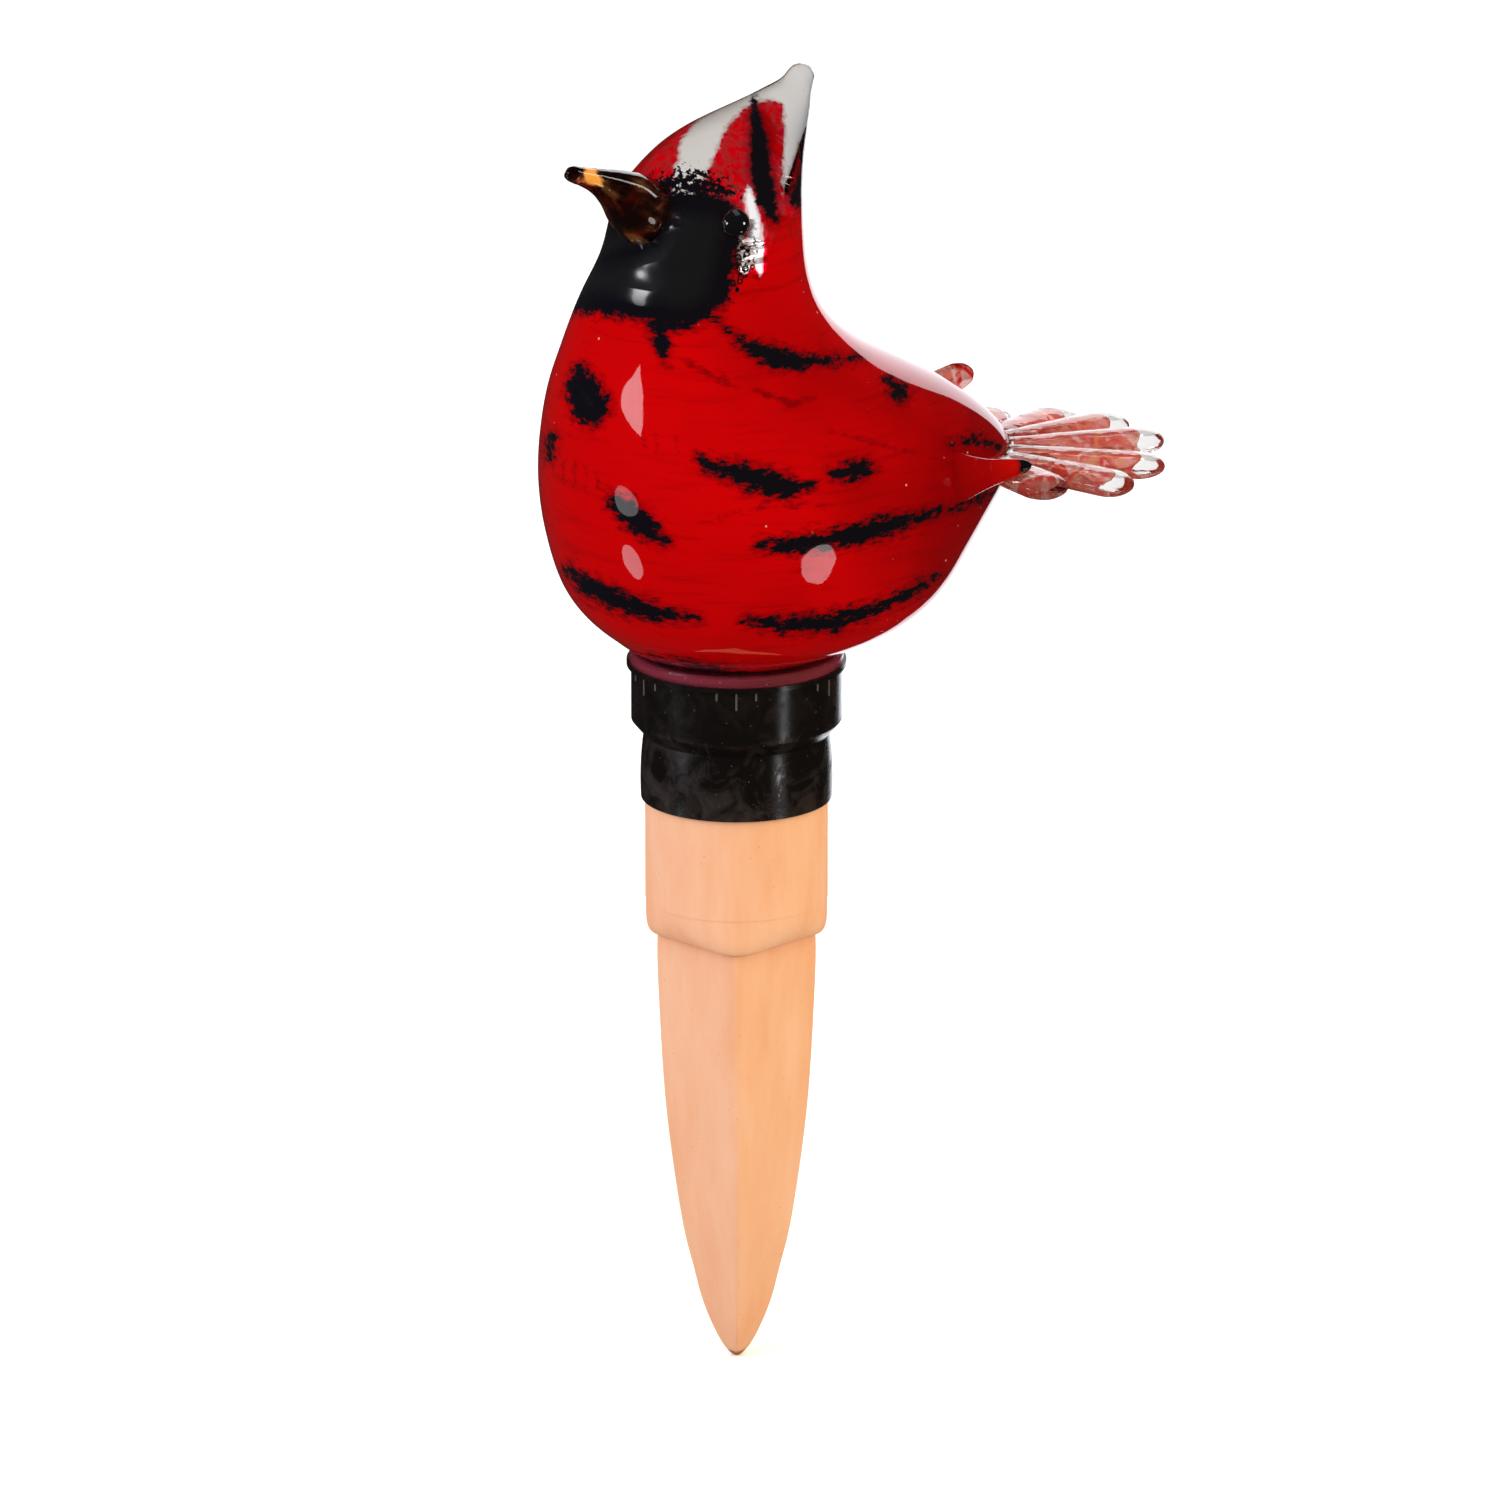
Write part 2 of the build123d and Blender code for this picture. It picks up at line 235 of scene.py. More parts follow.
clay_light = (0.95, 0.56, 0.37, 1.0)
clay_dark = (0.90, 0.45, 0.25, 1.0)
clay_painted_shade = (0.42, 0.17, 0.08, 1.0)
crease_reach = 0.002
pore_depth = 0.8
finish, tree, shader = new_finish("fired terracotta")
place = add(tree, "ShaderNodeTexCoord").outputs["Object"]
drawn = add(tree, "ShaderNodeMapping", {"Vector": place, "Scale": (110.0, 110.0, 26.0)})
drift = noise(tree, drawn.outputs[0], scale=1.0, detail=5.0, roughness=0.6)
spread = remap(tree, drift, start=0.3, end=0.7)
grit = noise(tree, place, scale=1500.0, detail=5.0, roughness=0.7)
pores = add(tree, "ShaderNodeTexVoronoi", {"Vector": place, "Scale": 330.0})
pore = remap(tree, pores.outputs["Distance"], start=0.03, end=0.09, low=0.35, high=0.0)
tone = blend(tree, spread, clay_dark, clay_light)
# Painted shade: the clay colour is darkened in the crease under the socket, where ambient occlusion finds it
# closed in, and in the open pores.
corner = add(tree, "ShaderNodeAmbientOcclusion", {"Distance": crease_reach}, samples=16)
crease_painted_shade = remap(tree, corner.outputs["AO"], start=0.55, end=0.78, low=0.95, high=0.0)
painted_crease_and_pore_shade = reckon(tree, "MAXIMUM", crease_painted_shade, pore)
clay = blend(tree, painted_crease_and_pore_shade, tone, clay_painted_shade)
tree.links.new(clay, shader.inputs["Base Color"])
shader.inputs["Roughness"].default_value = 0.9
shader.inputs["Specular IOR Level"].default_value = 0.2
dents = reckon(tree, "MULTIPLY_ADD", pore, -pore_depth, grit)
bump = add(tree, "ShaderNodeBump", {"Strength": 0.45, "Distance": 0.0001, "Height": dents})
tree.links.new(bump.outputs[0], shader.inputs["Normal"])
worn(nodes["terracotta_spike"], finish)


# Rubber collar: one soft black moulding that grips the glass neck above and the clay socket below. The
# gripping ring is polished by handling, and the skirt keeps a film of clay dust.
rubber_black = (0.0052, 0.0038, 0.0034, 1.0)
rubber_dusty = (0.040, 0.028, 0.025, 1.0)
rubber_scuffed = (0.10, 0.088, 0.082, 1.0)
skirt_top = 0.0185
film_edge = 0.0005
ring_face = 0.0230
just_proud = 0.0001
lip_foot = 0.0299
parting_azimuth = np.radians(33.0)
parting_width = 0.00025
parting_depth = 3.0
finish, tree, shader = new_finish("moulded rubber")
place = add(tree, "ShaderNodeTexCoord").outputs["Object"]
x, y, z = add(tree, "ShaderNodeSeparateXYZ", {0: place}).outputs
dust = noise(tree, place, scale=130.0, detail=6.0, roughness=0.65, distortion=0.8)
skin = noise(tree, place, scale=2600.0, detail=3.0)
patches = remap(tree, dust, start=0.45, end=0.72)
low = remap(tree, z, start=skirt_top + film_edge, end=skirt_top - film_edge, low=0.25, high=1.0)
film = reckon(tree, "MULTIPLY", patches, low)
black = blend(tree, film, rubber_black, rubber_dusty)
specks = add(tree, "ShaderNodeTexVoronoi", {"Vector": place, "Scale": 420.0})
speck = remap(tree, specks.outputs["Distance"], start=0.04, end=0.10, low=0.6, high=0.0)
flat = add(tree, "ShaderNodeCombineXYZ", {0: x, 1: y})
off_axis = add(tree, "ShaderNodeVectorMath", {0: flat.outputs[0]}, operation="LENGTH")
proud = reckon(tree, "GREATER_THAN", off_axis.outputs["Value"], ring_face + just_proud)
under_lip = reckon(tree, "LESS_THAN", z, lip_foot)
tick = reckon(tree, "MULTIPLY", proud, under_lip)
scuff = reckon(tree, "MAXIMUM", tick, speck)
rubbed = blend(tree, scuff, black, rubber_scuffed)
tree.links.new(rubbed, shader.inputs["Base Color"])
matte = remap(tree, film, start=0.0, end=0.7, low=0.22, high=0.5)
tree.links.new(matte, shader.inputs["Roughness"])
parting = Vector((np.cos(parting_azimuth), np.sin(parting_azimuth), 0.0))
off_parting = add(tree, "ShaderNodeVectorMath", {0: place, 1: parting}, operation="DOT_PRODUCT")
seam = reckon(tree, "COMPARE", off_parting.outputs["Value"], 0.0, parting_width)
relief = reckon(tree, "MULTIPLY_ADD", seam, -parting_depth, skin)
bump = add(tree, "ShaderNodeBump", {"Strength": 0.4, "Distance": 0.00004, "Height": relief})
tree.links.new(bump.outputs[0], shader.inputs["Normal"])
worn(nodes["rubber_collar"], finish)
lit_only["collar"].objects.link(nodes["rubber_collar"])


# Gasket: a soft clear sleeve with a flange, moulded in one and stretched over the glass neck. Its mauve
# cast is painted light, the red glass's colour painted into the sleeve, and pale motes lie in it.
# Painted light: the mauve base colour stands in for the red glass showing through the clear sleeve.
gasket_painted_glass_tint = (0.50, 0.055, 0.11, 1.0)
gasket_brown = (0.30, 0.045, 0.07, 1.0)
gasket_milk = (0.75, 0.34, 0.40, 1.0)
finish, tree, shader = new_finish("clear soft sleeve")
place = add(tree, "ShaderNodeTexCoord").outputs["Object"]
haze = noise(tree, place, scale=220.0, detail=3.0)
rough = remap(tree, haze, low=0.12, high=0.3)
layers = add(tree, "ShaderNodeMapping", {"Vector": place, "Scale": (40.0, 40.0, 900.0)})
layer = noise(tree, layers.outputs[0], scale=1.0, detail=4.0)
dull = remap(tree, layer, start=0.4, end=0.62)
tinted = blend(tree, dull, gasket_painted_glass_tint, gasket_brown)
motes = add(tree, "ShaderNodeTexVoronoi", {"Vector": place, "Scale": 500.0})
mote = remap(tree, motes.outputs["Distance"], start=0.06, end=0.12, low=0.8, high=0.0)
specked = blend(tree, mote, tinted, gasket_milk)
tree.links.new(specked, shader.inputs["Base Color"])
tree.links.new(rough, shader.inputs["Roughness"])
shader.inputs["Transmission Weight"].default_value = 0.55
shader.inputs["IOR"].default_value = 1.42
worn(nodes["neck_gasket"], finish)


# Blown glass bird: a gather of red glass under clear, rolled in black frit, blown, and drawn up to a solid
# clear crest. The skin is an even fine mesh over the CAD solid, so that it can carry how far each point is
# from a streak. Streaks are rows of (across, up, half width) in mm, in the photograph's own view.
mm = 0.001
bird_cell = 0.00098
bird_passes = 18
small_cell = 0.0008
small_passes = 22
weld_distance = 1e-6
layer_depth = 2 * bird_cell
roof_foot = 0.119
roof_rise = 0.0135
crest_level = 0.128
far_widening = 5.0
head_widening = 3.0
far_mask_from = (0.010, -0.028, 0.124)
far_mask_to = (-0.008, -0.022, 0.131)
far_mask_radius = 0.0125
beyond_reach = 50.0
grain_cut = 20.0
frit_streaks = [
    [(-16.5, 101, 2.6), (-15.8, 97, 2.0), (-15.4, 93, 0.9)],
    [(-4.0, 101.5, 0.6), (1.5, 96.5, 1.4), (6.0, 94.8, 2.4), (9.0, 93.5, 3.0)]
    + [(15.0, 93, 2.0), (21.0, 93.6, 1.4), (27.5, 94.5, 0.8)],
    [(-33.5, 91.0, 2.0), (-33.0, 87.0, 4.2), (-31.5, 84.0, 4.6), (-31.0, 80.5, 2.0)],
    [(-7.5, 71.5, 1.5), (-2.5, 69.6, 2.4), (3.5, 67.8, 3.0), (10.0, 65.8, 3.2), (16.0, 66.2, 1.2)],
    [(21.0, 68.5, 1.6), (25.5, 69.5, 2.6), (27.5, 70.0, 2.2)],
    [(-26.8, 63.2, 1.7), (-23.0, 60.5, 3.0), (-19.0, 57.0, 2.8), (-15.5, 54.0, 1.4)],
    [(5.0, 53.2, 1.4), (14.0, 53.8, 2.2), (22.0, 55.0, 2.4), (31.0, 57.5, 2.8)]
    + [(39.0, 59.5, 1.6), (49.0, 62.5, 1.0), (61.5, 67.5, 0.9)],
    [(-36.5, 48.5, 1.5), (-31.5, 44.5, 2.6), (-25.0, 41.5, 2.6), (-17.0, 39.0, 2.2), (-8.0, 38.0, 0.8)],
    [(1.5, 37.6, 0.8), (10.0, 36.4, 2.0), (20.0, 37.0, 2.4), (30.0, 40.0, 1.8)]
    + [(39.0, 44.5, 1.4), (44.0, 47.5, 0.8)],
    [(-23.0, 29.5, 0.8), (-10.0, 27.3, 1.8), (4.0, 25.3, 1.2), (17.0, 25.6, 0.8), (26.0, 27.8, 0.6)],
    [(33.0, 89.5, 1.4), (35.0, 87.0, 2.6)],
    [(46.5, 75.5, 0.9), (51.5, 77.0, 1.4), (57.5, 75.0, 1.0)],
    [(-40.0, 77.0, 1.6), (-40.3, 73.0, 1.4)],
    [(-12.0, 123.5, 6.2), (-6.5, 120.5, 8.4), (-10.0, 116.0, 10.8), (-12.0, 111.0, 11.5)],
    [(-38.0, 109.5, 5.5), (-27.0, 110.5, 8.0), (-14.0, 111.0, 11.0)],
    [(-27.0, 118.0, 6.0), (-18.0, 122.0, 7.0)],
    [(3.9, 151.5, 0.9), (3.9, 147.0, 1.1), (4.9, 141.0, 2.0), (5.3, 134.0, 2.5)]
    + [(6.5, 127.0, 2.5), (8.0, 124.0, 1.6)],
    [(13.6, 131.5, 1.3), (12.8, 128.0, 2.0)],
    [(16.6, 152.5, 1.0), (15.8, 146.0, 1.3), (15.0, 139.0, 1.5), (14.6, 131.5, 1.6)],
]
grain_field = [[(-19.0, 130.0, 2.6), (-11.0, 131.0, 4.2), (-4.0, 130.0, 3.4), (0.5, 128.5, 1.6)]]
bubble_field = [[(1.2, 118.5, 2.4), (0.6, 113.0, 2.8), (-1.0, 107.0, 1.6)]]
dim_threads = [
    [(-11.7, 93.1, 0.5), (-6.9, 90.7, 0.9), (-3.0, 88.3, 0.8), (1.0, 86.8, 0.4)],
    [(-3.9, 91.1, 0.5), (-1.0, 87.7, 0.4)],
    [(3.9, 86.8, 0.6), (11.7, 83.9, 1.3), (16.6, 84.8, 0.7)],
    [(-20.4, 78.5, 0.4), (-19.5, 74.5, 0.3)],
    [(-17.4, 77.6, 0.4), (-16.9, 73.5, 0.3)],
    [(-13.0, 76.5, 0.4), (-12.4, 72.6, 0.3)],
    [(-37.0, 72.1, 0.4), (-37.5, 66.7, 0.3)],
    [(-34.6, 71.7, 0.4), (-34.9, 66.0, 0.3)],
    [(-32.3, 70.8, 0.4), (-32.4, 65.6, 0.3)],
    [(-29.8, 69.5, 0.4), (-29.8, 64.7, 0.3)],
    [(33.1, 54.8, 0.5), (41.0, 56.5, 0.4)],
    [(15.6, 52.7, 0.4), (25.5, 52.1, 0.4)],
    [(-8.0, 58.0, 0.5), (6.0, 61.5, 0.5), (22.0, 62.0, 0.4)],
    [(20.0, 78.0, 0.4), (32.0, 75.0, 0.6), (44.0, 72.0, 0.4)],
]
clear_bands = [
    [(-11.4, 128.0, 2.6), (-10.6, 131.5, 3.4), (-8.0, 139.0, 4.4), (-4.6, 145.5, 3.4)]
    + [(0.5, 150.5, 3.2), (6.5, 154.0, 4.2)],
    [(6.5, 154.0, 4.2), (11.0, 153.0, 4.6), (14.0, 155.5, 3.6)],
    [(12.4, 150.0, 2.8), (12.2, 142.0, 2.2), (11.0, 134.5, 1.4), (10.4, 129.5, 0.7)],
    [(2.5, 130.4, 0.6), (3.0, 127.3, 1.5), (4.1, 121.4, 1.8), (4.0, 116.5, 2.2), (4.9, 111.7, 0.9)],
    [(1.2, 118.5, 1.2), (1.6, 113.0, 1.6)],
]


def even_skin(node, name, cell, passes):
    """A fine even mesh over a CAD node's solid, eased until no facet shows in its polish."""
    skin = bpy.data.objects.new(name, nodes[node].data.copy())
    bpy.context.collection.objects.link(skin)
    welded = bmesh.new()
    welded.from_mesh(skin.data)
    bmesh.ops.remove_doubles(welded, verts=welded.verts, dist=weld_distance)
    welded.to_mesh(skin.data)
    welded.free()
    even = skin.modifiers.new("even", "REMESH")
    even.mode = "VOXEL"
    even.voxel_size = cell
    ease = skin.modifiers.new("ease", "SMOOTH")
    ease.factor = 0.5
    ease.iterations = passes
    seen = skin.evaluated_get(bpy.context.evaluated_depsgraph_get())
    mesh = bpy.data.meshes.new_from_object(seen)
    skin.modifiers.clear()
    skin.data = mesh
    mesh.shade_smooth()
    return skin


def mesh_points(piece):
    """The points of a piece's mesh, one row each."""
    flat = np.empty(len(piece.data.vertices) * 3)
    piece.data.vertices.foreach_get("co", flat)
    return flat.reshape(-1, 3)


def reach_inside(streaks, across, up):
    """How far each point lies inside the nearest streak, in mm: its half width there less the distance."""
    best = np.full(across.shape, -beyond_reach)
    for streak in streaks:
        for (u0, v0, w0), (u1, v1, w1) in zip(streak[:-1], streak[1:]):
            run_u, run_v = u1 - u0, v1 - v0
            t = ((across - u0) * run_u + (up - v0) * run_v) / (run_u**2 + run_v**2)
            t = np.clip(t, 0.0, 1.0)
            distance = np.hypot(across - u0 - t * run_u, up - v0 - t * run_v)
            best = np.maximum(best, w0 + t * (w1 - w0) - distance)
    return best


def hollow_wall(skin, points, middle, above):
    """Which points above a level are on the hollow's wall: all that are joined there to its innermost one."""
    edges = np.empty(len(skin.data.edges) * 2, dtype=np.int32)
    skin.data.edges.foreach_get("vertices", edges)
    edges = edges.reshape(-1, 2)
    edges = edges[(points[edges, 2] > above).all(axis=1)]
    off_middle = np.hypot(*(points[:, :2] - middle).T)
    in_layer = (points[:, 2] > above) & (points[:, 2] < above + layer_depth)
    first = np.where(in_layer, off_middle, np.inf).argmin()
    joined = np.zeros(len(points), dtype=bool)
    joined[first] = True
    grown = 0
    while joined.sum() > grown:
        grown = joined.sum()
        joined[edges[joined[edges].any(axis=1)]] = True
    return joined


def middle_at(height):
    """The middle of the bird's section at each height, between the section's own points."""
    return np.stack([np.interp(height, layer_height, layer_middle[:, axis]) for axis in (0, 1)], axis=1)


skin = even_skin("glass_body", "glass_bird", bird_cell, bird_passes)
points = mesh_points(skin)
foot = points[:, 2].min()
layer = ((points[:, 2] - foot) / layer_depth).astype(int)
layer_height = foot + (np.arange(layer.max() + 1) + 0.5) * layer_depth
held = np.maximum(np.bincount(layer), 1)
layer_middle = np.stack([np.bincount(layer, points[:, axis]) / held for axis in (0, 1)], axis=1)
middle = middle_at(points[:, 2])
roof = hollow_wall(skin, points, middle, roof_foot)
lowered = roof_foot + roof_rise * (1.0 - np.exp((roof_foot - points[roof, 2]) / roof_rise))
points[roof, :2] += middle_at(lowered) - middle[roof]
points[roof, 2] = lowered
skin.data.vertices.foreach_set("co", points.ravel())
middle = middle_at(points[:, 2])
across = points @ view_right / mm
up = points @ view_up / mm
behind = (points[:, :2] - middle) @ towards_camera[:2] < 0.0
widening = np.where(points[:, 2] > crest_level, far_widening, head_widening)
clear_reach = reach_inside(clear_bands, across, up) + widening * behind
black_reach = reach_inside(frit_streaks, across, up)
to_far_eye = points - np.array(far_mask_from)
run = np.array(far_mask_to) - np.array(far_mask_from)
share = np.clip(to_far_eye @ run / (run @ run), 0.0, 1.0)
far_mask = (far_mask_radius - np.linalg.norm(to_far_eye - share[:, None] * run, axis=1)) / mm
far_black = np.minimum(np.maximum(black_reach, far_mask), -clear_reach)
carried_reaches = {
    "black_reach": np.where(behind, far_black, black_reach),
    "dim_reach": reach_inside(dim_threads, across, up),
    "grain_reach": reach_inside(grain_field, across, up) - grain_cut * behind,
    "bubble_reach": reach_inside(bubble_field, across, up),
    "clear_reach": clear_reach,
}
for name, reach in carried_reaches.items():
    carried = skin.data.attributes.new(name, "FLOAT", "POINT")
    carried.data.foreach_set("value", reach)


def along_grain(tree, place, axis, along, sideways):
    """Object coordinates turned so that their X runs along this axis, scaled along it and sideways."""
    turn = Vector(axis).to_track_quat("X", "Z").inverted().to_euler()
    turned = add(tree, "ShaderNodeMapping", {"Vector": place, "Rotation": turn})
    scale = (along, sideways, sideways)
    return add(tree, "ShaderNodeMapping", {"Vector": turned.outputs[0], "Scale": scale}).outputs[0]


red_bright = (0.54, 0.0, 0.0008, 1.0)
red_deep_and_painted_shade = (0.25, 0.0, 0.0006, 1.0)
red_thread = (0.13, 0.0, 0.002, 1.0)
red_fold = (0.24, 0.006, 0.008, 1.0)
seed_white = (0.9, 0.45, 0.42, 1.0)
frit_black = (0.004, 0.0035, 0.006, 1.0)
clear_glass = (0.93, 0.915, 0.905, 1.0)
clear_painted_dark_edge = (0.16, 0.14, 0.145, 1.0)
crest_foot = 0.131
veil_from = crest_foot - 0.003
veil_to = crest_foot + 0.006
crest_axis = (0.2, 0.35, 1.0)
finish, tree, shader = new_finish("red glass with black frit")
place = add(tree, "ShaderNodeTexCoord").outputs["Object"]
level = add(tree, "ShaderNodeSeparateXYZ", {0: place}).outputs["Z"]
black_reach = add(tree, "ShaderNodeAttribute", attribute_name="black_reach").outputs["Fac"]
clear_reach = add(tree, "ShaderNodeAttribute", attribute_name="clear_reach").outputs["Fac"]

drawn = add(tree, "ShaderNodeMapping", {"Vector": place, "Scale": (330.0, 330.0, 800.0)})
feather = noise(tree, drawn.outputs[0], scale=1.0, detail=6.0, roughness=0.7)
ragged = remap(tree, feather, start=0.3, end=0.7, low=-2.3, high=1.1)
calm = remap(tree, level, start=0.132, end=0.142, low=1.0, high=0.4)
inside = reckon(tree, "MULTIPLY_ADD", ragged, calm, black_reach)
streak = remap(tree, inside, start=-0.45, end=0.45)
fringe = remap(tree, inside, start=-2.0, end=0.2, low=0.0, high=0.8)

grain_reach = add(tree, "ShaderNodeAttribute", attribute_name="grain_reach").outputs["Fac"]
grains = noise(tree, place, scale=850.0, detail=5.0, roughness=0.7)
sown = remap(tree, grain_reach, start=-2.0, end=3.2, low=0.30, high=0.60)
grain = reckon(tree, "LESS_THAN", grains, sown)

bubble_reach = add(tree, "ShaderNodeAttribute", attribute_name="bubble_reach").outputs["Fac"]
on_patch = remap(tree, bubble_reach, start=-0.5, end=0.5)
bubbles = add(tree, "ShaderNodeTexVoronoi", {"Vector": place, "Scale": 600.0, "Randomness": 1.0})
ring = reckon(tree, "COMPARE", bubbles.outputs["Distance"], 0.36, 0.10)
rings = reckon(tree, "MULTIPLY", ring, on_patch)

specks = reckon(tree, "MAXIMUM", grain, rings)
black = reckon(tree, "MAXIMUM", streak, specks)

wisps = along_grain(tree, place, crest_axis, 90.0, 700.0)
wisp = noise(tree, wisps, scale=1.0, detail=4.0, roughness=0.55)
wander = remap(tree, wisp, start=0.3, end=0.7, low=-0.45, high=0.45)
open_reach = reckon(tree, "ADD", clear_reach, wander)
open_glass = remap(tree, open_reach, start=-0.8, end=0.1)
bare = remap(tree, open_reach, start=0.1, end=1.1)
above_foot = remap(tree, level, start=veil_from, end=veil_to, high=0.5)
veil = reckon(tree, "MULTIPLY", wisp, above_foot)
lit = reckon(tree, "MAXIMUM", open_glass, veil)
not_black = reckon(tree, "SUBTRACT", 1.0, black)
see_through = reckon(tree, "MULTIPLY", lit, not_black)
tree.links.new(see_through, shader.inputs["Transmission Weight"])

drift = noise(tree, place, scale=24.0, detail=3.0)
thread_turn = {"Rotation": (0.25, 0.0, 0.0), "Scale": (50.0, 50.0, 620.0)}
threads = add(tree, "ShaderNodeMapping", {"Vector": place, **thread_turn})
thread = noise(tree, threads.outputs[0], scale=1.0, detail=5.0, roughness=0.6)
# Painted shade: besides its random deeper patches, the red is made deeper towards the back of the bird, as
# painted shade on that side.
rearward = add(tree, "ShaderNodeSeparateXYZ", {0: place}).outputs["Y"]
painted_back_shade = remap(tree, rearward, start=-0.01, end=0.05, low=-0.1, high=0.35, clamp=False)
tone_and_painted_shade = reckon(tree, "ADD", drift, painted_back_shade)
deeper_tone_and_painted_shade = remap(tree, tone_and_painted_shade, start=0.42, end=0.85)
red = blend(tree, deeper_tone_and_painted_shade, red_bright, red_deep_and_painted_shade)
lines = remap(tree, thread, start=0.52, end=0.78, low=0.0, high=0.5)
lined = blend(tree, lines, red, red_thread)
dim_reach = add(tree, "ShaderNodeAttribute", attribute_name="dim_reach").outputs["Fac"]
dim_inside = reckon(tree, "MULTIPLY_ADD", ragged, 0.5, dim_reach)
dim = remap(tree, dim_inside, start=-0.5, end=0.5, low=0.0, high=0.7)
lined = blend(tree, dim, lined, red_thread)
seeds = add(tree, "ShaderNodeTexVoronoi", {"Vector": place, "Scale": 110.0})
seed = remap(tree, seeds.outputs["Distance"], start=0.02, end=0.035, low=0.8, high=0.0)
lined = blend(tree, seed, lined, seed_white)
upright = remap(tree, wisp, start=0.46, end=0.6, low=0.0, high=1.6)
folded = reckon(tree, "MULTIPLY", upright, above_foot, use_clamp=True)
lined = blend(tree, folded, lined, red_fold)
fringed = blend(tree, fringe, lined, red_thread)
# Painted shade: clear glass is painted darker where it turns away from view, standing in for the dark
# outlines refraction shows at the crest's edges.
sight = add(tree, "ShaderNodeLayerWeight", {"Blend": 0.5})
painted_edge_share = remap(tree, sight.outputs["Facing"], start=0.45, end=0.85, low=0.0, high=0.9)
clear = blend(tree, painted_edge_share, clear_glass, clear_painted_dark_edge)
cleared = blend(tree, bare, fringed, clear)
body = blend(tree, black, cleared, frit_black)
tree.links.new(body, shader.inputs["Base Color"])

scratches = noise(tree, place, scale=900.0, detail=4.0)
rough = remap(tree, scratches, start=0.3, end=0.75, low=0.015, high=0.06)
tree.links.new(rough, shader.inputs["Roughness"])
shader.inputs["IOR"].default_value = 1.3
shader.inputs["Specular IOR Level"].default_value = 1.0
waves = noise(tree, place, scale=75.0, detail=2.0)
lumps = reckon(tree, "MULTIPLY_ADD", specks, 0.25, waves)
bump = add(tree, "ShaderNodeBump", {"Strength": 1.0, "Distance": 0.0001, "Height": lumps})
deep_frit = remap(tree, black_reach, start=3.5, end=7.0)
casing = noise(tree, place, scale=85.0, detail=1.5, roughness=0.5)
swell = reckon(tree, "MULTIPLY", casing, deep_frit)
sockets = {"Strength": 1.0, "Distance": 0.0014, "Height": swell, "Normal": bump.outputs[0]}
waved = add(tree, "ShaderNodeBump", sockets)
tree.links.new(waved.outputs[0], shader.inputs["Normal"])
tree.links.new(waved.outputs[0], shader.inputs["Coat Normal"])
tree.links.new(deep_frit, shader.inputs["Coat Weight"])
shader.inputs["Coat Roughness"].default_value = 0.17
shader.inputs["Coat IOR"].default_value = 3.0
worn(skin, finish)
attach(skin, "globe")
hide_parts("glass_body")


# Beak: a bit of amber glass, set hot on the front of the head and drawn out to a bead at its tip. Dark and
# golden threads run along it, and one spot near the tip is painted bright orange, a painted glow of light
# through the thin amber.
beak_root = 0.008
root_tuck = 0.006
head_heart = (0.004, -0.0076, 0.130)
beak_axis = Vector((0.45, -0.72, 0.52))
amber_dark = (0.022, 0.008, 0.006, 1.0)
amber_red = (0.17, 0.035, 0.012, 1.0)
amber_gold = (0.80, 0.42, 0.12, 1.0)
amber_painted_glow = (1.0, 0.42, 0.08, 1.0)
painted_glow_spot = (-0.0307, 0.1322)
spot_pull = 0.5
spot_waver = 0.006
spot_edge = 0.0012
finish, tree, shader = new_finish("amber glass")
place = add(tree, "ShaderNodeTexCoord").outputs["Object"]
grain = along_grain(tree, place, beak_axis, 55.0, 300.0)
thread = noise(tree, grain, scale=1.0, detail=2.0, distortion=0.5)
amber = add(tree, "ShaderNodeValToRGB", {"Fac": thread})
amber.color_ramp.elements[0].position = 0.43
amber.color_ramp.elements[0].color = amber_dark
amber.color_ramp.elements[1].position = 0.69
amber.color_ramp.elements[1].color = amber_gold
amber.color_ramp.elements.new(0.54).color = amber_red
shader.inputs["Roughness"].default_value = 0.02
shader.inputs["IOR"].default_value = 1.5
beak = even_skin("beak", "beak_drawn_out", small_cell, small_passes)
points = mesh_points(beak)
along = points @ np.array(beak_axis.normalized())
off_spot = np.hypot(points @ view_right - painted_glow_spot[0], points @ view_up - painted_glow_spot[1])
spot = Vector(points[np.argmin(off_spot - spot_pull * (points @ towards_camera))])
off_spot = add(tree, "ShaderNodeVectorMath", {0: place, 1: spot}, operation="DISTANCE")
ragged_spot = reckon(tree, "MULTIPLY_ADD", thread, -spot_waver, off_spot.outputs["Value"])
# Painted light: a spot near the tip gets a bright orange and less transmission, standing in for light shining
# through the thin amber.
bright = remap(tree, ragged_spot, start=0.0, end=-spot_edge)
tinted = blend(tree, bright, amber.outputs[0], amber_painted_glow)
clear_share = remap(tree, bright, low=0.92, high=0.15)
tree.links.new(clear_share, shader.inputs["Transmission Weight"])
tree.links.new(tinted, shader.inputs["Base Color"])
sunk = np.clip(1.0 - (along - along.min()) / beak_root, 0.0, 1.0) ** 2
inward = np.array(head_heart) - points
points += root_tuck * sunk[:, None] * inward / np.linalg.norm(inward, axis=1)[:, None]
beak.data.vertices.foreach_set("co", points.ravel())
worn(beak, finish)
lit_only["beak"].objects.link(beak)
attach(beak, "globe")
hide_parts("beak")


